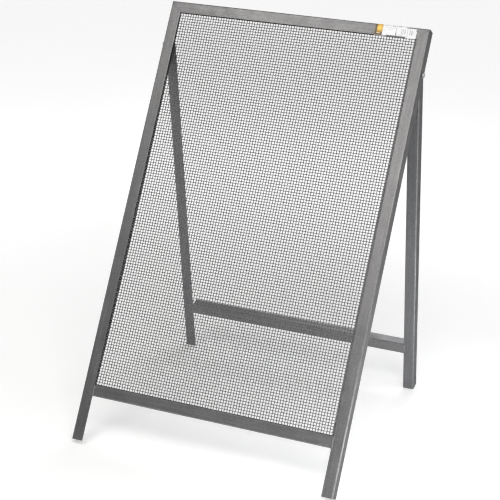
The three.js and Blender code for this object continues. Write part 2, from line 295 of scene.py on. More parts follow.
def label_material():
    """Coated paper: a plain orange and yellow block at the left, pale grey blank bars, soft creases and a grubby rim."""
    m = Nodes("label_coated_paper")
    pos = m.attr("label_pos", "Vector")
    sep = m.new("SeparateXYZ")
    m.link(pos, sep.inputs[0])
    u, v = sep.outputs[0], sep.outputs[1]
    c = m.coords()
    fibre = m.noise(c, 900.0, 4.0, 0.6)
    smudge = m.noise(c, 60.0, 4.0, 0.6)
    white = m.mix(m.ramp(fibre, 0.3, 0.7), (0.78, 0.79, 0.80), (0.86, 0.87, 0.88))
    white = m.mix(m.ramp(smudge, 0.5, 0.75, 0.0, 0.35), white, (0.62, 0.62, 0.62))

    def box(u0, u1, v0, v1, soft=0.25):
        a = m.math("MULTIPLY", m.ramp(u, u0 - soft, u0 + soft), m.ramp(u, u1 - soft, u1 + soft, 1.0, 0.0))
        b = m.math("MULTIPLY", m.ramp(v, v0 - soft, v0 + soft), m.ramp(v, v1 - soft, v1 + soft, 1.0, 0.0))
        return m.math("MULTIPLY", a, b)

    # blank grey bars and smudges where print would be
    bars = None
    for u0, u1, v0, v1, dark in (
        (21, 27, 19.5, 22.5, 0.3), (30, 44, 17.5, 19.0, 0.35), (30, 40, 13.5, 14.6, 0.3), (39, 45, 20.5, 24.0, 0.5), (47, 50, 22.0, 25.5, 0.4),
        (52, 58, 21.5, 24.5, 0.6), (54, 62, 3.0, 5.0, 0.35), (59, 61, 6, 18, 0.55), (62.4, 63.8, 6, 18, 0.6),
        (65.5, 68.5, 7, 18, 0.5), (72.0, 73.4, 5, 20, 0.45), (77, 79.5, 6, 17, 0.5), (81, 84, 6, 17, 0.6),
        (86, 87.4, 8, 15, 0.35),
    ):
        b = m.math("MULTIPLY", box(u0, u1, v0, v1, 0.4), dark)
        bars = b if bars is None else m.math("MAXIMUM", bars, b)
    col = m.mix(bars, white, (0.30, 0.30, 0.32))
    # painted shadow along the foot, where the rail's dark lower edge shows under the label, a dark nick above it, and
    # painted shadow along the top and end edges of the torn end
    painted_shadow_and_nick = m.math("MAXIMUM", box(26, 70, -2.0, 1.9, 0.4), box(46.9, 48.6, 1.5, 9.0, 0.3))
    painted_shadow_and_nick = m.math("MAXIMUM", painted_shadow_and_nick, m.math("MULTIPLY", box(47.0, 48.2, 9.0, 20.0, 0.3), 0.5))
    painted_shadow_and_nick = m.math("MAXIMUM", painted_shadow_and_nick, m.math("MULTIPLY", box(70.0, 92.0, 20.8, 22.6, 0.4), 0.9))
    painted_shadow_and_nick = m.math("MAXIMUM", painted_shadow_and_nick, m.math("MULTIPLY", box(91.4, 93.4, 15.0, 21.0, 0.4), 0.9))
    painted_shadow_and_nick = m.math("MAXIMUM", painted_shadow_and_nick, m.math("MULTIPLY", box(17.5, 29.0, -2.0, 1.4, 0.5), 0.5))
    painted_shadow_and_nick = m.math("MULTIPLY", painted_shadow_and_nick, m.ramp(m.noise(c, 260.0, 3.0, 0.6), 0.25, 0.5, 0.5, 0.95))
    col = m.mix(painted_shadow_and_nick, col, (0.075, 0.075, 0.08))
    # the coloured block, darker at its foot and left edge, with a plain yellow disc
    block = box(0.0, 17.5, -0.5, 24.8, 0.4)
    dx = m.math("SUBTRACT", u, 10.4)
    dy = m.math("SUBTRACT", v, 15.6)
    r = m.math("SQRT", m.math("ADD", m.math("MULTIPLY", dx, dx), m.math("MULTIPLY", dy, dy)), 0.0)
    disc = m.ramp(r, 4.4, 6.2, 1.0, 0.0)
    amber = m.mix(m.ramp(v, 2.5, 11.0), (0.05, 0.02, 0.006), (0.62, 0.33, 0.03))
    amber = m.mix(box(4.0, 15.0, 3.6, 5.4, 0.5), amber, (0.75, 0.60, 0.35))
    amber = m.mix(m.ramp(u, 4.0, 6.5, 0.96, 0.0), amber, (0.045, 0.028, 0.016))
    amber = m.mix(box(13.0, 18.0, -1.0, 6.0, 1.2), amber, (0.05, 0.03, 0.015))
    amber = m.mix(m.math("MULTIPLY", disc, 0.9), amber, (0.86, 0.60, 0.09))
    amber = m.mix(m.ramp(fibre, 0.35, 0.75, 0.0, 0.2), amber, (0.9, 0.7, 0.3))
    col = m.mix(block, col, amber)
    edge = m.attr("edge")
    col = m.mix(m.math("MULTIPLY", m.ramp(edge, 0.3, 1.0), 0.35), col, (0.45, 0.44, 0.42))
    m.link(col, m.bsdf.inputs["Base Color"])
    m.link(m.ramp(smudge, 0.3, 0.7, 0.30, 0.45), m.bsdf.inputs["Roughness"])
    m.link(m.bump(m.noise(c, 140.0, 3.0, 0.5), 0.25, 0.0004), m.bsdf.inputs["Normal"])
    return m.mat


GREY = (0.17, 0.168, 0.17)
# the fourth value sets how dark the painted shade on the outer side faces is
paint_front = paint_material("frame_grey_paint", GREY, 0)
paint_rear = paint_material("leg_grey_paint", (0.145, 0.147, 0.153), 2, 0.62)
paint_cross = paint_material("crossbar_grey_paint", (0.165, 0.165, 0.168), 4, 0.0, 0.0)
weld_mat = paint_material("weld_grey_paint", tuple(x * 1.08 for x in GREY), 1)
wire_mat = wire_material()
zinc = zinc_material()
nylon = nylon_material()
paper = label_material()


# ---------------------------------------------------------------- mesh helpers
def make(name, verts, faces, mat, matrix, attrs=None, smooth=True, sharp=None):
    """A mesh object from local millimetres, put into the row frame by matrix."""
    me = bpy.data.meshes.new(name)
    me.from_pydata([tuple(v) for v in verts], [], faces)
    for key, values in (attrs or {}).items():
        values = np.asarray(values, np.float32)
        if values.ndim == 1:
            me.attributes.new(key, "FLOAT", "POINT").data.foreach_set("value", values)
        else:
            me.attributes.new(key, "FLOAT_VECTOR", "POINT").data.foreach_set(
                "vector", values.ravel()
            )
    me.transform(matrix @ Matrix.Scale(MM, 4))
    me.materials.append(mat)
    me.validate()
    o = bpy.data.objects.new(name, me)
    bpy.context.scene.collection.objects.link(o)
    if smooth:
        me.shade_smooth()
    if sharp is not None:
        me.set_sharp_from_angle(angle=math.radians(sharp))
    return o


def fix_normals(o):
    bm = bmesh.new()
    bm.from_mesh(o.data)
    bmesh.ops.recalc_face_normals(bm, faces=bm.faces)
    bm.to_mesh(o.data)
    bm.free()
    return o


lip_size = 0.36


def section():
    """Rolled equal angle 25 x 25 x 3, heel at (0, 0): points (u, w) in order round the outline, with an edge value."""
    heel, toe, root, lip = 3.2, 1.1, 3.0, 0.35
    pts = []

    def arc(cx, cy, r, a0, a1, n, edge=0.75):
        for i in range(n + 1):
            a = math.radians(a0 + (a1 - a0) * i / n)
            pts.append((cx + r * math.cos(a), cy + r * math.sin(a), edge))

    def line(p, q, cuts):
        for t in cuts:
            x, y = p[0] + (q[0] - p[0]) * t, p[1] + (q[1] - p[1]) * t
            pts.append((x, y, 0.0))

    flat = (0.04, 0.12, 0.3, 0.5, 0.7, 0.88, 0.96)
    # the heel's higher edge value also drives the painted highlight along it
    arc(heel, heel, heel, 180, 270, 8, 0.55)
    line((heel, 0), (LEG - lip, 0), flat)
    arc(LEG - lip, lip, lip, 270, 360, 2, 0.3)
    arc(LEG - toe, THICK - toe, toe, 0, 90, 4, 0.3)
    line((LEG - toe, THICK), (THICK + root, THICK), (0.06, 0.3, 0.6))
    arc(THICK + root, THICK + root, root, 270, 180, 5, 0.0)
    line((THICK, THICK + root), (THICK, LEG - toe), (0.4, 0.7, 0.94))
    arc(THICK - toe, LEG - toe, toe, 0, 90, 4, 0.3)
    arc(lip, LEG - lip, lip, 90, 180, 2, 0.3)
    line((0, LEG - lip), (0, heel), flat)
    return pts


SECTION = section()


def outline_normals(pts):
    p = np.array([(a, b) for a, b, _ in pts])
    d = np.roll(p, -1, 0) - np.roll(p, 1, 0)
    n = np.stack([d[:, 1], -d[:, 0]], 1)
    n /= np.linalg.norm(n, axis=1)[:, None] + 1e-9
    return p, n


def bar(name, place, low, high, mat, matrix, seed=0):
    """Sweeps the angle section. place(u, w, s) gives local mm; low(u, w) and high(u, w) are the cut ends."""
    p, n = outline_normals(SECTION)
    lo = np.array([low(u, w) for u, w in p])
    hi = np.array([high(u, w) for u, w in p])
    near = (0.0, 0.3, 0.9, 2.2, 4.5)
    middle = max(4, int((hi.mean() - lo.mean()) / 9.0))
    rings, edges = [], []
    base_edge = np.array([e for _, _, e in SECTION])
    # the edge value fades over about 2 mm round each rolled edge
    fade = np.array([max(e * math.exp(-np.linalg.norm(c - q) / 1.1) for c, e in zip(p, base_edge)) for q in p])
    rng = random.Random(seed)
    for end in (0, 1):
        for d in near if end == 0 else near[::-1]:
            inset = 0.3 if d == 0 else 0.0
            q = p - n * inset
            s = lo + d if end == 0 else hi - d
            rings.append((q, s))
            edges.append(np.maximum(fade, math.exp(-d / 1.3)))
        if end == 0:
            for i in range(1, middle):
                t = i / middle
                s = (lo + near[-1]) * (1 - t) + (hi - near[-1]) * t
                rings.append((p, s))
                edges.append(fade)
    verts = []
    k = len(p)
    for q, s in rings:
        for i in range(k):
            verts.append(place(q[i][0], q[i][1], s[i]))
    faces = []
    for r in range(len(rings) - 1):
        for i in range(k):
            j = (i + 1) % k
            faces.append((r * k + i, r * k + j, (r + 1) * k + j, (r + 1) * k + i))
    faces.append(tuple(range(k))[::-1])
    last = (len(rings) - 1) * k
    faces.append(tuple(range(last, last + k)))
    # masks for painted shade: the outer face of the side flange and the toe faces
    outer_side_shade = np.clip((p[:, 1] - 1.2) / 2.0, 0, 1) * (p[:, 0] < 1.2)
    toe_shade_mask = (p[:, 0] > LEG - 0.2) & (p[:, 1] > 0.3)
    side = np.tile(outer_side_shade, len(rings))
    rolled = np.concatenate([np.column_stack([q + 60.0 * (seed + 1), s]) for q, s in rings]) * MM
    attrs = {"edge": np.concatenate(edges), "side": side, "toe": np.tile(toe_shade_mask.astype(float), len(rings)), "rolled": rolled}
    o = make(name, verts, faces, mat, matrix, attrs, sharp=40)
    fix_normals(o)
    return o


def cut(o, *cutters):
    """Cuts o with closed cutter objects, exactly, and removes them."""
    for c in cutters:
        fix_normals(c)
        mod = o.modifiers.new("cut", "BOOLEAN")
        mod.operation = "DIFFERENCE"
        mod.object = c
        mod.solver = "EXACT"
    dg = bpy.context.evaluated_depsgraph_get()
    me = bpy.data.meshes.new_from_object(o.evaluated_get(dg))
    mats = [s.material for s in o.material_slots]
    o.modifiers.clear()
    old = o.data
    o.data = me
    bpy.data.meshes.remove(old)
    me.materials.clear()
    for m in mats[:1]:
        me.materials.append(m)
    for poly in me.polygons:
        poly.material_index = 0
    me.set_sharp_from_angle(angle=math.radians(40))
    for c in cutters:
        bpy.data.objects.remove(c)
    return o


def cylinder_x(name, r, x0, x1, y, z, matrix, sides=40):
    verts, faces = [], []
    for x in (x0, x1):
        for i in range(sides):
            a = 2 * math.pi * i / sides
            verts.append((x, y + r * math.cos(a), z + r * math.sin(a)))
    for i in range(sides):
        j = (i + 1) % sides
        faces.append((i, j, sides + j, sides + i))
    faces.append(tuple(range(sides))[::-1])
    faces.append(tuple(range(sides, 2 * sides)))
    return make(name, verts, faces, zinc, matrix, smooth=False)


def block(name, corners_low, corners_high, matrix):
    (x0, y0, z0), (x1, y1, z1) = corners_low, corners_high
    v = [(x, y, z) for x in (x0, x1) for y in (y0, y1) for z in (z0, z1)]
    f = [(0, 1, 3, 2), (4, 6, 7, 5), (0, 4, 5, 1), (2, 3, 7, 6), (0, 2, 6, 4), (1, 5, 7, 3)]
    return make(name, v, f, zinc, matrix, smooth=False)


def joined(name, objects):
    """One object from several, keeping each one's materials."""
    bm = bmesh.new()
    mats = []
    for o in objects:
        remap = []
        for m in o.data.materials:
            if m not in mats:
                mats.append(m)
            remap.append(mats.index(m))
        before = len(bm.faces)
        bm.from_mesh(o.data)
        bm.faces.ensure_lookup_table()
        for f in bm.faces[before:]:
            f.material_index = remap[min(f.material_index, len(remap) - 1)]
    me = bpy.data.meshes.new(name)
    bm.to_mesh(me)
    bm.free()
    for m in mats:
        me.materials.append(m)
    for o in objects:
        bpy.data.objects.remove(o)
    o = bpy.data.objects.new(name, me)
    bpy.context.scene.collection.objects.link(o)
    return o


# ---------------------------------------------------------------- the angle-iron members
mitre = GAP / 2 * math.sqrt(2)
SPAN = STILE - HALF
members = {}
for side, sx in (("right", 1), ("left", -1)):
    o = bar(
        f"{side}_stile_steel",
        lambda u, w, s, sx=sx: (sx * (HALF - u), w, s),
        lambda u, w: 0.0,
        lambda u, w: (HALF - u) + SPAN - mitre,
        paint_front,
        FRONT,
        1 + (sx > 0),
    )
    hole = cylinder_x("cutter", 3.3, sx * 290, sx * 310, PIVOT_BACK, PIVOT_UP, FRONT)
    cut(o, hole)
    members[o.name] = (o, "front_frame", f"{side}_stile")

    outer = HALF - THICK - GAP
    o = bar(
        f"rear_{side}_leg_steel",
        lambda u, w, s, sx=sx: (sx * (outer - u), w - LEG_IN, s),
        lambda u, w: -LEG_BELOW,
        lambda u, w: LEG_ABOVE,
        paint_rear,
        REAR,
        3 + (sx > 0),
    )
    hole = cylinder_x("cutter_a", 3.3, sx * 285, sx * 305, 0, 0, REAR)
    # a pocket for the nut, and the top clipped to lie behind the stile and clear of the screen
    x0, x1 = sorted((sx * POCKET_FROM, sx * (outer - THICK)))
    notch = block("cutter_b", (x0, -40, -NOTCH), (x1, 40, LEG_ABOVE + 20), REAR)
    tilt = REAR @ Matrix.Rotation(math.pi / 2 - (lean + spread), 4, "X")
    stop = PIVOT_BACK - THICK - GAP
    clip = block("cutter_c", (-320, -60, stop), (320, 60, stop + 60), tilt)
    x0, x1 = sorted((sx * (POCKET_FROM - 60), sx * POCKET_FROM))
    clip_tongue = block("cutter_d", (x0, -60, TONGUE_STOP), (x1, 60, TONGUE_STOP + 60), tilt)
    cut(o, hole, notch, clip, clip_tongue)
    members[o.name] = (o, "rear_frame", f"rear_{side}_leg")

o = bar(
    "top_rail_steel",
    lambda u, w, s: (s, w, STILE - u),
    lambda u, w: -(HALF - u - mitre),
    lambda u, w: HALF - u - mitre,
    paint_front,
    FRONT,
    5,
)
members[o.name] = (o, "front_frame", "top_rail")
rail_end = HALF - LEG - GAP
o = bar(
    "bottom_rail_steel",
    lambda u, w, s: (s, w, RAIL_UP + u),
    lambda u, w: -rail_end,
    lambda u, w: rail_end,
    paint_front,
    FRONT,
    6,
)
members[o.name] = (o, "front_frame", "bottom_rail")
cross_end = HALF - THICK - GAP - LEG - GAP
cross_top = -LEG_BELOW + CROSS_UP + LEG
o = bar(
    "rear_crossbar_steel",
    lambda u, w, s: (s, w - LEG_IN, cross_top - u),
    lambda u, w: -cross_end,
    lambda u, w: cross_end,
    paint_cross,
    REAR,
    7,
)
members[o.name] = (o, "rear_frame", "rear_crossbar")
for o, body, node in members.values():
    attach(o, body)
    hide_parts(node)


# ---------------------------------------------------------------- welds
def bead(p0, p1, up, width, height, matrix, seed, ripple=1.7, sink=0.45):
    """A weld bead from p0 to p1 on a surface whose normal is up: overlapping ripples that taper at both ends."""
    rng = random.Random(seed)
    a, b, up = Vector(p0), Vector(p1), Vector(up).normalized()
    d = (b - a).normalized()
    side = d.cross(up).normalized()
    length = (b - a).length
    steps = max(10, int(length / (ripple / 4)))
    k = 12
    verts, faces = [], []
    wob = [rng.uniform(-1, 1) for _ in range(int(length / 3) + 4)]
    for i in range(steps + 1):
        s = length * i / steps
        t = min(s, length - s) / (width * 0.6)
        taper = math.sqrt(max(0.02, 1 - (1 - min(1, t)) ** 2))
        j = s / 3
        w0 = wob[int(j)] * (1 - j % 1) + wob[int(j) + 1] * (j % 1)
        phase = (s / ripple) % 1.0
        scallop = 0.86 + 0.2 * math.sqrt(max(0.0, 1 - (2 * phase - 1) ** 2))
        hw = width / 2 * taper * (1 + 0.10 * w0) * (0.9 + 0.1 * scallop)
        h = height * taper * scallop * (1 + 0.08 * w0)
        for q in range(k):
            ang = 2 * math.pi * q / k
            lag = 0.8 * math.cos(ang) ** 2 * width * 0.10  # the ripples curve back at the sides
            c = a + d * (s - lag) + side * (math.cos(ang) * hw + 0.12 * width * w0)
            z = math.sin(ang)
            c += up * (z * h if z > 0 else z * h * sink)
            verts.append(c)
    for i in range(steps):
        for q in range(k):
            r = (q + 1) % k
            faces.append((i * k + q, i * k + r, (i + 1) * k + r, (i + 1) * k + q))
    faces.append(tuple(range(k))[::-1])
    faces.append(tuple(range(steps * k, steps * k + k)))
    o = make(f"bead_{seed}", verts, faces, weld_mat, matrix, {"edge": [0.15] * len(verts)})
    fix_normals(o)
    return o


beads, seed = [], 100
for sx in (1, -1):
    inner = HALF - LEG
    # front, across the mitre: ground nearly flush
    beads.append(bead((sx * (inner + 1), -0.02, STILE - LEG + 1), (sx * (HALF - 2.5), -0.02, STILE - 2.5), (0, -1, 0), 3.4, 0.32, FRONT, seed + 1, 2.2))
    # inside the corner, along the two back flanges and behind the front flanges
    beads.append(bead((sx * (HALF - THICK - 0.4), THICK + 2, STILE - THICK - 0.4), (sx * (HALF - THICK - 0.4), LEG - 1, STILE - THICK - 0.4), (-sx, 0, -1), 4.2, 1.5, FRONT, seed + 2))
    # outside the corner, ground low
    beads.append(bead((sx * (HALF - 0.55), 2.5, STILE - 0.55), (sx * (HALF - 0.55), LEG - 1.5, STILE - 0.55), (sx, 0, 1), 1.6, 0.3, FRONT, seed + 3, 2.2))
    # bottom rail, front and behind
    beads.append(bead((sx * (inner - 0.15), -0.05, RAIL_UP + 1), (sx * (inner - 0.15), -0.05, RAIL_UP + LEG - 0.5), (0, -1, 0), 4.6, 1.15, FRONT, seed + 4))
    beads.append(bead((sx * (inner - 0.15), THICK, RAIL_UP + LEG - 1), (sx * (inner - 0.15), THICK, RAIL_UP + 4), (0, 1, 0), 4.4, 1.2, FRONT, seed + 5))
    beads.append(bead((sx * (inner - 0.3), 0.4, RAIL_UP - 0.1), (sx * (inner - 0.3), THICK - 0.3, RAIL_UP - 0.1), (0, 0, -1), 3.2, 0.9, FRONT, seed + 6))
    seed += 10
front_welds = joined("front_frame_welds", beads)
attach(front_welds, "front_frame")
beads = []
for sx in (1, -1):
    inner = HALF - THICK - GAP - LEG
    beads.append(bead((sx * (inner - 0.15), -LEG_IN - 0.05, cross_top - LEG + 0.5), (sx * (inner - 0.15), -LEG_IN - 0.05, cross_top - 1), (0, -1, 0), 4.6, 1.15, REAR, seed + 1))
    beads.append(bead((sx * (inner - 0.15), -LEG_IN + THICK, cross_top - LEG + 1), (sx * (inner - 0.15), -LEG_IN + THICK, cross_top - 4), (0, 1, 0), 4.4, 1.2, REAR, seed + 2))
    beads.append(bead((sx * (inner - 0.3), -LEG_IN + 0.5, cross_top + 0.05), (sx * (inner - 0.3), -LEG_IN + THICK - 0.2, cross_top + 0.05), (0, 0, 1), 3.4, 0.9, REAR, seed + 3))
    seed += 10
rear_welds = joined("rear_frame_welds", beads)
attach(rear_welds, "rear_frame")


# ---------------------------------------------------------------- woven wire screen
SELVEDGE = 1.42  # spacing of the bunched border wires
FIRST_X, LAST_X = -274.3, 270.6  # inner wire of the left and of the right border


def bow(x, z):
    """How far an upright wire is pulled in towards the middle at height z: most at the left border, low down."""
    pull = max(0.0, 3.6 - (1.25e-5 if z > 410 else 3.5e-5) * (z - 410) ** 2)
    return pull * max(0.0, -x / 275) ** 1.3 - 0.3 * pull * max(0.0, x / 275) ** 1.3


xs = [FIRST_X + PITCH_X * i for i in range(1, int((LAST_X - 3.0 - FIRST_X) / PITCH_X) + 1)]
left_border = [FIRST_X - SELVEDGE * i for i in range(12)]
right_border = [LAST_X + SELVEDGE * i for i in range(15)]
TOP_WIRE = 974.7
LOW_WIRE = TOP_WIRE - 140 * PITCH_Z
zs = [LOW_WIRE + PITCH_Z * i for i in range(1, 140)]
top_border = [TOP_WIRE + SELVEDGE * i for i in range(15)]
low_border = [LOW_WIRE - SELVEDGE * i for i in range(15)]


def weave(name, lines, crossings, low, high, upright, first, seed, jitter=0.10, crimp=1.0, border=0.0):
    """One piece of parallel crimped wires. Each passes over and under the crossing ones in turn."""
    rng = random.Random(seed)
    r, k = WIRE / 2, 6
    amp = r * crimp
    pitch = abs(crossings[1] - crossings[0])
    ring = [(math.cos(2 * math.pi * (q + 0.5) / k), math.sin(2 * math.pi * (q + 0.5) / k)) for q in range(k)]
    verts, faces, crown_painted_light, shade = [], [], [], []
    for n, c0 in enumerate(lines):
        line = c0
        c0 += rng.uniform(-jitter, jitter)
        drift = rng.uniform(-0.08, 0.08)
        tone = rng.random()
        parity = (n + first) % 2
        stations = [(low, 0.0)]
        for m, s in enumerate(crossings):
            sign = 1 if (m + parity) % 2 else -1
            if not upright:
                s += bow(s, line)
            stations += [(s - 0.18 * pitch, sign), (s + 0.18 * pitch, sign)]
        stations.append((high, 0.0))
        base = len(verts)
        for s, sign in stations:
            depth = SCREEN_MID + (amp * sign if upright else -amp * sign)
            c = c0 + drift * math.sin(s / 90.0 + n)
            if upright:
                c += bow(line, s)
            for cx, cy in ring:
                if upright:
                    verts.append((c + r * cx, depth + r * cy, s))
                else:
                    verts.append((s, depth + r * cy, c + r * cx))
                # painted light mask: the front- and back-facing sides of the crossing knuckles
                crown_painted_light.append(max(0.0, abs(cy)) * abs(sign))
                shade.append(tone)
        count = len(stations)
        for i in range(count - 1):
            for q in range(k):
                j = (q + 1) % k
                a, b = base + i * k, base + (i + 1) * k
                faces.append((a + q, a + j, b + j, b + q))
        faces.append(tuple(range(base, base + k))[::-1])
        end = base + (count - 1) * k
        faces.append(tuple(range(end, end + k)))
    o = make(name, verts, faces, wire_mat, FRONT, {"crown_painted_light": crown_painted_light, "shade": shade, "border": [border] * len(verts)})
    fix_normals(o)
    return o


wires = []
parts = 3
for i in range(parts):
    a, b = len(xs) * i // parts, len(xs) * (i + 1) // parts
    wires.append(weave(f"screen_wires_upright_{i + 1}", xs[a:b], zs, SCREEN_LOW, SCREEN_HIGH, True, a, 11 + i))
    a, b = len(zs) * i // parts, len(zs) * (i + 1) // parts
    wires.append(weave(f"screen_wires_level_{i + 1}", zs[a:b], xs, -SCREEN_X, SCREEN_X, False, a, 21 + i))
# the bunched wires of the woven borders; the last value is their painted tone: painted light on the right, painted
# shade on the left, top and low
wires.append(weave("screen_border_left", left_border, zs, SCREEN_LOW, SCREEN_HIGH, True, 1, 31, 0.03, 1.0, -0.92))
wires.append(weave("screen_border_right", right_border, zs, SCREEN_LOW, SCREEN_HIGH, True, 0, 32, 0.03, 1.0, 0.9))
wires.append(weave("screen_border_top", top_border, xs, -SCREEN_X, SCREEN_X, False, 1, 33, 0.03, 0.6, -0.92))
wires.append(weave("screen_border_low", low_border, xs, -SCREEN_X, SCREEN_X, False, 0, 34, 0.03, 0.6, -0.6))
for o in wires:
    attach(o, "front_frame")
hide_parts("wire_screen")


def tack(x, y, z, r, h, matrix, seed):
    """A small tack weld: a low lumpy button."""
    rng = random.Random(seed)
    verts, faces = [], []
    n, k = 5, 12
    sx, sz = rng.uniform(0.85, 1.25), rng.uniform(0.85, 1.25)
    lumps = [rng.uniform(0.88, 1.12) for _ in range(k)]
    for i in range(n):
        t = i / n
        rr = r * math.cos(t * math.pi / 2) ** 0.8
        for q in range(k):
            a = 2 * math.pi * q / k
            verts.append((x + rr * sx * lumps[q] * math.cos(a), y + h * math.sin(t * math.pi / 2), z + rr * sz * lumps[q] * math.sin(a)))
    verts.append((x, y + h, z))
    for i in range(n - 1):
        for q in range(k):
            j = (q + 1) % k
            faces.append((i * k + q, i * k + j, (i + 1) * k + j, (i + 1) * k + q))
    for q in range(k):
        faces.append(((n - 1) * k + q, (n - 1) * k + (q + 1) % k, n * k))
    faces.append(tuple(range(k))[::-1])
    o = make(f"tack_{seed}", verts, faces, weld_mat, matrix, {"edge": [0.1] * len(verts)})
    fix_normals(o)
    return o


tacks = []
seed = 500
for sx in (1, -1):
    for i, z in enumerate(zs[3:-2:9]):
        tacks.append(tack(sx * 284.5, THICK - 0.1, z, 3.4, 3.3, FRONT, seed + i))
    seed += 50
for z0 in (986.0, 114.0):
    for i, x in enumerate(xs[5:-4:9]):
        tacks.append(tack(x, THICK - 0.1, z0, 3.4, 3.3, FRONT, seed + i))
    seed += 50
tack_welds = joined("screen_tack_welds", tacks)
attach(tack_welds, "front_frame")


# ---------------------------------------------------------------- pivot fasteners
def turned(name, rows, mat, matrix, sides=48, flat=None):
    """Rings of (x, radius, edge) round the pivot axis. flat(radius, angle, x) may pull a point in, to cut hexagon flats."""
    verts, faces, edge = [], [], []
    for x, r, e in rows:
        for i in range(sides):
            a = 2 * math.pi * (i + 0.5) / sides
            rr = flat(r, a) if flat else r
            verts.append((x, PIVOT_BACK + rr * math.cos(a), PIVOT_UP + rr * math.sin(a)))
            edge.append(e)
    n = len(rows)
    for j in range(n - 1):
        for i in range(sides):
            q = (i + 1) % sides
            faces.append((j * sides + i, j * sides + q, (j + 1) * sides + q, (j + 1) * sides + i))
    return verts, faces, edge, n, sides


def solid_of(name, rows, mat, matrix, closed_loop, sides=48, flat=None, sharp=35):
    verts, faces, edge, n, k = turned(name, rows, mat, matrix, sides, flat)
    if closed_loop:
        for i in range(k):
            q = (i + 1) % k
            faces.append(((n - 1) * k + i, (n - 1) * k + q, q, i))
    else:
        faces.append(tuple(range(k))[::-1])
        faces.append(tuple(range((n - 1) * k, n * k)))
    o = make(name, verts, faces, mat, matrix, {"edge": edge}, sharp=sharp)
    fix_normals(o)
    return o


def hexagon(af):
    def flat(r, a):
        # distance to the hexagon's side in the direction a
        b = (a + math.pi / 6) % (math.pi / 3) - math.pi / 6
        return min(r, af / 2 / math.cos(b))

    return flat


fasteners = []
for side, sx in (("right", 1), ("left", -1)):
    face = HALF + GAP
    corner = 10 / math.sqrt(3)
    head = [
        (sx * (face - 0.28), 4.6, 0.2),
        (sx * face, 4.75, 0.4),
        (sx * (face + 0.25), corner, 0.6),
        (sx * (face + 0.6), corner, 0.1),
        (sx * (face + 2.0), corner, 0.0),
        (sx * (face + 3.2), corner, 0.3),
        (sx * (face + 3.6), 5.3, 0.9),
        (sx * (face + 3.95), 4.75, 0.6),
        (sx * (face + 4.0), 4.6, 0.2),
        (sx * (face + 4.0), 2.2, 0.0),
        (sx * (face + 3.85), 1.9, 0.0),
    ]
    h = solid_of(f"{side}_bolt_head", head, zinc, FRONT, False, 72, hexagon(10))
    # shank with a rolled thread on its inner half
    shank = [(sx * (face + 0.5), 2.9, 0.0), (sx * (face - 7.0), 2.9, 0.0)]
    x = face - 7.2
    while x > face - 18.6:
        shank += [(sx * x, 2.95, 0.9), (sx * (x - 0.5), 2.45, 0.0)]
        x -= 1.0
    shank += [(sx * (face - 18.7), 2.5, 0.4), (sx * (face - 19.0), 2.1, 0.6)]
    s = solid_of(f"{side}_bolt_shank", shank, zinc, FRONT, False, 36)
    bolt = joined(f"{side}_pivot_bolt_m6", [h, s])
    fasteners.append((bolt, f"{side}_pivot_bolt"))
    w1 = HALF - THICK - GAP - THICK - GAP
    w0 = w1 - 1.6
    ring = [
        (sx * w0, 3.4, 0.5), (sx * w0, 5.7, 0.4), (sx * (w0 + 0.3), 6.0, 0.9),
        (sx * (w1 - 0.3), 6.0, 0.9), (sx * w1, 5.7, 0.4), (sx * w1, 3.4, 0.5),
        (sx * (w1 - 0.2), 3.25, 0.3), (sx * (w0 + 0.2), 3.25, 0.3),
    ]
    washer = solid_of(f"{side}_washer_m6", ring, zinc, FRONT, True, 64)
    fasteners.append((washer, f"{side}_pivot_washer"))
    n1 = w0 - GAP
    n0 = n1 - 6.0
    nut_rows = [
        (sx * n1, 3.3, 0.3), (sx * n1, 4.7, 0.3), (sx * (n1 - 0.15), 4.9, 0.8), (sx * (n1 - 0.5), corner, 0.5),
        (sx * (n1 - 2.0), corner, 0.0), (sx * (n1 - 3.8), corner, 0.2), (sx * (n1 - 4.2), 5.3, 0.9),
        (sx * (n1 - 4.4), 4.95, 0.5), (sx * (n1 - 5.7), 4.8, 0.3), (sx * n0, 4.4, 0.8), (sx * n0, 3.9, 0.4),
        (sx * (n0 + 0.3), 3.85, 0.0), (sx * (n0 + 0.4), 3.3, 0.0),
    ]
    nut = solid_of(f"{side}_nut_shell", nut_rows, zinc, FRONT, True, 72, hexagon(10))
    ring_rows = [
        (sx * (n0 + 0.25), 3.84, 0.2), (sx * (n0 + 0.10), 3.6, 0.3), (sx * (n0 + 0.12), 3.15, 0.3),
        (sx * (n0 + 0.8), 3.02, 0.0), (sx * (n0 + 0.9), 3.84, 0.0),
    ]
    insert = solid_of(f"{side}_nut_insert", ring_rows, nylon, FRONT, True, 48)
    nut = joined(f"{side}_lock_nut_m6", [nut, insert])
    fasteners.append((nut, f"{side}_lock_nut"))
for o, node in fasteners:
    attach(o, "front_frame")
    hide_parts(node)

# ---------------------------------------------------------------- label
label_lo, label_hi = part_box("label")
LX0, LX1 = label_lo.x / MM, label_hi.x / MM


HEEL = 3.2


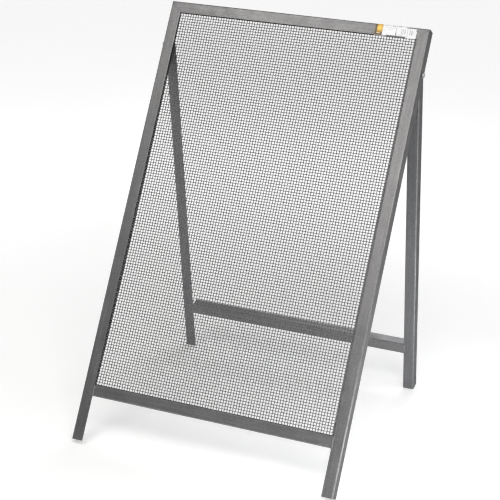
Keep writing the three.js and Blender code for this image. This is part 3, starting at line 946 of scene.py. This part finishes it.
def label_sheet(name, x0, x1, top_turn, low, under, rag, lift, seed):
    """A coated paper sheet on the rail's face: its top rides up on the bend, its foot is turned under the edge or hangs."""
    rng = random.Random(seed)
    nx = int((x1 - x0) / 1.1)
    flat_top = STILE - HEEL
    rows = [("bend", math.radians(top_turn * (1 - i / 5))) for i in range(5)]
    rows += [("face", flat_top - (flat_top - low) * i / 20) for i in range(21)]
    if under:
        rows += [("under", y) for y in (0.1, 1.0, 2.0, 2.7)]
    waves = [(rng.uniform(0.05, 0.16), rng.uniform(0, 6.28), rng.uniform(0.02, 0.12)) for _ in range(4)]
    tear = [rng.uniform(-1, 1) for _ in rows]
    scallop = [rng.uniform(0, 6.28) for _ in range(3)]
    verts, pos, edge, faces = [], [], [], []
    for layer in (0, 1):
        thick = 0.16 * layer
        for j, (kind, q) in enumerate(rows):
            far = x1 - rag * (0.5 + 0.5 * tear[j]) * (kind != "bend")
            for i in range(nx + 1):
                x = x0 + (far - x0) * i / nx
                wave = sum(a * math.sin(f * 14 * (x - x0) + p + 0.11 * j) for f, p, a in waves)
                off = 0.30 + 0.03 + thick
                if kind == "bend":
                    turn = q * (0.82 + 0.12 * math.sin(x * 0.31 + scallop[0]) + 0.06 * math.sin(x * 1.1 + scallop[1]))
                    r = HEEL + off
                    y, z = HEEL - r * math.cos(turn), flat_top + r * math.sin(turn)
                elif kind == "face":
                    t = (q - low) / (flat_top - low)
                    puff = 0.10 * (1 + wave * 2.2) * math.sin(math.pi * min(1, max(0, t)))
                    corner = lift * max(0.0, 1 - (far - x) / 7.0) ** 2 * max(0.0, 0.6 - t) / 0.6
                    y, z = -(off + puff + corner), q
                else:
                    y, z = q, low - 0.15 - thick
                verts.append((x, y, z))
                pos.append((x - LX0, z - (STILE - LEG) if kind != "under" else -0.6, 0.0))
                rim = min(x - x0, far - x, 0.8 * j, 9.0 if under else 0.9 * (len(rows) - 1 - j))
                edge.append(math.exp(-rim / 0.6))
    k = nx + 1
    m = len(rows)
    for layer in (0, 1):
        off = layer * k * m
        for j in range(m - 1):
            for i in range(nx):
                a = off + j * k + i
                q = (a, a + 1, a + k + 1, a + k)
                faces.append(q if layer else q[::-1])
    border = (
        [(j * k, (j + 1) * k) for j in range(m - 1)]
        + [((m - 1) * k + i, (m - 1) * k + i + 1) for i in range(nx)]
        + [((j + 1) * k + nx, j * k + nx) for j in range(m - 1)][::-1]
        + [(i + 1, i) for i in range(nx)][::-1]
    )
    for a, b in border:
        faces.append((a, b, b + k * m, a + k * m))
    o = make(name, verts, faces, paper, FRONT, {"edge": edge, "label_pos": pos}, sharp=60)
    fix_normals(o)
    return o


label = joined(
    "paper_label",
    [
        label_sheet("label_main", LX0 + 0.1, LX0 + 76.0, 44, STILE - LEG - 0.45, True, 0.0, 0.0, 3),
        label_sheet("label_end", LX0 + 73.0, LX1 + 2.6, 10, STILE - LEG - 1.2, False, 1.8, 0.5, 7),
    ],
)
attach(label, "front_frame")
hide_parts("label")

# ---------------------------------------------------------------- camera
yaw, pitch, roll, focal = 0.3823, -0.3596, 0.0309, 1454.4
eye = Vector((1.0931, -2.4620 + origin_y, 1.5155))
fwd = Vector((-math.sin(yaw) * math.cos(pitch), math.cos(yaw) * math.cos(pitch), math.sin(pitch)))
right = Vector((math.cos(yaw), math.sin(yaw), 0))
up = right.cross(fwd)
r2 = right * math.cos(roll) + up * math.sin(roll)
u2 = up * math.cos(roll) - right * math.sin(roll)
cam_data = bpy.data.cameras.new("camera")
cam_data.sensor_width = 36.0
cam_data.lens = focal * 36.0 / 500.0
cam_data.clip_end = 200
cam = bpy.data.objects.new("camera", cam_data)
bpy.context.scene.collection.objects.link(cam)
cam.matrix_world = Matrix((
    (r2.x, u2.x, -fwd.x, eye.x),
    (r2.y, u2.y, -fwd.y, eye.y),
    (r2.z, u2.z, -fwd.z, eye.z),
    (0, 0, 0, 1),
))
bpy.context.scene.camera = cam

# ---------------------------------------------------------------- floor and light
NEAR_GLOW, FAR_GLOW = 0.22, 0.56
floor_mat = Nodes("studio_floor")
floor_mat.set(Roughness=0.9, Specular_IOR_Level=0.2)
floor_noise = floor_mat.noise(floor_mat.coords(), 1.3, 2.0, 0.5)
floor_mat.link(
    floor_mat.mix(floor_mat.ramp(floor_noise, 0.3, 0.7), (0.90, 0.90, 0.90), (0.92, 0.92, 0.92)),
    floor_mat.bsdf.inputs["Base Color"],
)
# the floor is a light table: lit faintly from below by the object, more strongly far from it, so it fades into the backdrop
reach = floor_mat.new("VectorMath")
reach.operation = "LENGTH"
floor_mat.link(floor_mat.coords(), reach.inputs[0])
floor_mat.link(floor_mat.ramp(reach.outputs["Value"], 0.4, 2.2, NEAR_GLOW, FAR_GLOW), floor_mat.bsdf.inputs["Emission Strength"])
floor_mat.bsdf.inputs["Emission Color"].default_value = (1.0, 1.0, 1.0, 1.0)
bm = bmesh.new()
bmesh.ops.create_grid(bm, x_segments=4, y_segments=4, size=30)
me = bpy.data.meshes.new("floor")
bm.to_mesh(me)
bm.free()
me.materials.append(floor_mat.mat)
floor = bpy.data.objects.new("floor", me)
bpy.context.scene.collection.objects.link(floor)


def area(name, where, target, size, power, colour=(1, 1, 1)):
    d = bpy.data.lights.new(name, "AREA")
    d.shape = "RECTANGLE"
    d.size, d.size_y = size
    d.energy = power
    d.color = colour
    o = bpy.data.objects.new(name, d)
    bpy.context.scene.collection.objects.link(o)
    o.location = where
    o.rotation_euler = (Vector(target) - Vector(where)).to_track_quat("-Z", "Y").to_euler()
    o.visible_camera = False
    return o


# softboxes close to the object: the strongest high on the right, weaker ones along the top, low ones by the right feet
WARM, COOL = (1.0, 0.985, 0.962), (0.975, 0.988, 1.0)
TARGET = (0.05, 0.05, 0.55)
for name, where, target, size, power, colour in (
    ("softbox_top_right", (0.8, -1.3, 1.9), TARGET, 0.7, 8.8, WARM),
    ("softbox_top_middle", (0.1, -1.5, 1.9), TARGET, 0.7, 2.4, WARM),
    ("softbox_top_left", (-0.7, -1.5, 1.8), TARGET, 0.7, 3.2, WARM),
    ("softbox_over_left", (-0.6, -0.8, 2.0), TARGET, 0.7, 4.8, WARM),
    ("softbox_front_high", (0.0, -2.4, 2.8), TARGET, 1.2, 12.0, WARM),
    ("softbox_low_right", (1.7, -1.0, 1.0), TARGET, 0.8, 1.5, COOL),
    ("softbox_back", (0.0, 1.5, 1.9), TARGET, 1.0, 10.0, COOL),
    ("softbox_foot_right", (0.7, -0.25, 0.11), (0.3, -0.22, 0.06), 0.25, 1.35, COOL),
    ("softbox_foot_rear", (0.62, 0.28, 0.09), (0.3, 0.3, 0.05), 0.2, 0.8, COOL),
    ("softbox_foot_front", (0.45, -0.95, 0.35), (0.25, -0.25, 0.15), 0.4, 1.3, COOL),
    ("softbox_shin_right", (0.9, -0.8, 0.5), (0.3, -0.15, 0.2), 0.4, 1.9, COOL),
):
    area(name, where, target, (size, size), power, colour)

# the room: wide soft glows round it (azimuth from the front towards +X, elevation, tightness, strength)
GLOWS = (
    (-110, 6, 12, 3.6), (-5, 35, 12, 0.20), (35, 35, 12, 0.42), (0, 62, 12, 0.42),
    (60, 62, 12, 0.30), (180, 62, 12, 0.67), (180, 25, 5, 0.85),
)
world = bpy.data.worlds.new("studio")
bpy.context.scene.world = world
world.use_nodes = True
wt = world.node_tree
wt.nodes.clear()
w_out = wt.nodes.new("ShaderNodeOutputWorld")
room = wt.nodes.new("ShaderNodeBackground")
direction = wt.nodes.new("ShaderNodeTexCoord").outputs["Generated"]
total = None
for az, el, tight, strength in GLOWS:
    a, e = math.radians(az), math.radians(el)
    dot = wt.nodes.new("ShaderNodeVectorMath")
    dot.operation = "DOT_PRODUCT"
    wt.links.new(direction, dot.inputs[0])
    dot.inputs[1].default_value = (math.sin(a) * math.cos(e), -math.cos(a) * math.cos(e), math.sin(e))
    k = wt.nodes.new("ShaderNodeMath")
    k.operation = "MULTIPLY_ADD"
    wt.links.new(dot.outputs["Value"], k.inputs[0])
    k.inputs[1].default_value = tight
    k.inputs[2].default_value = math.log(strength) - tight
    glow = wt.nodes.new("ShaderNodeMath")
    glow.operation = "EXPONENT"
    wt.links.new(k.outputs[0], glow.inputs[0])
    if total is None:
        total = glow.outputs[0]
    else:
        add = wt.nodes.new("ShaderNodeMath")
        add.operation = "ADD"
        wt.links.new(total, add.inputs[0])
        wt.links.new(glow.outputs[0], add.inputs[1])
        total = add.outputs[0]
wt.links.new(total, room.inputs["Strength"])
# what the lens sees beyond the floor is a plain pale backdrop
backdrop = wt.nodes.new("ShaderNodeBackground")
backdrop.inputs["Color"].default_value = (0.95, 0.95, 0.95, 1.0)
lens = wt.nodes.new("ShaderNodeLightPath")
pick = wt.nodes.new("ShaderNodeMixShader")
wt.links.new(lens.outputs["Is Camera Ray"], pick.inputs[0])
wt.links.new(room.outputs[0], pick.inputs[1])
wt.links.new(backdrop.outputs[0], pick.inputs[2])
wt.links.new(pick.outputs[0], w_out.inputs["Surface"])

scene = bpy.context.scene
scene.view_settings.view_transform = "Standard"
scene.view_settings.look = "None"
scene.view_settings.exposure = 0.0
scene.view_settings.gamma = 1.0
scene.cycles.filter_width = 1.25
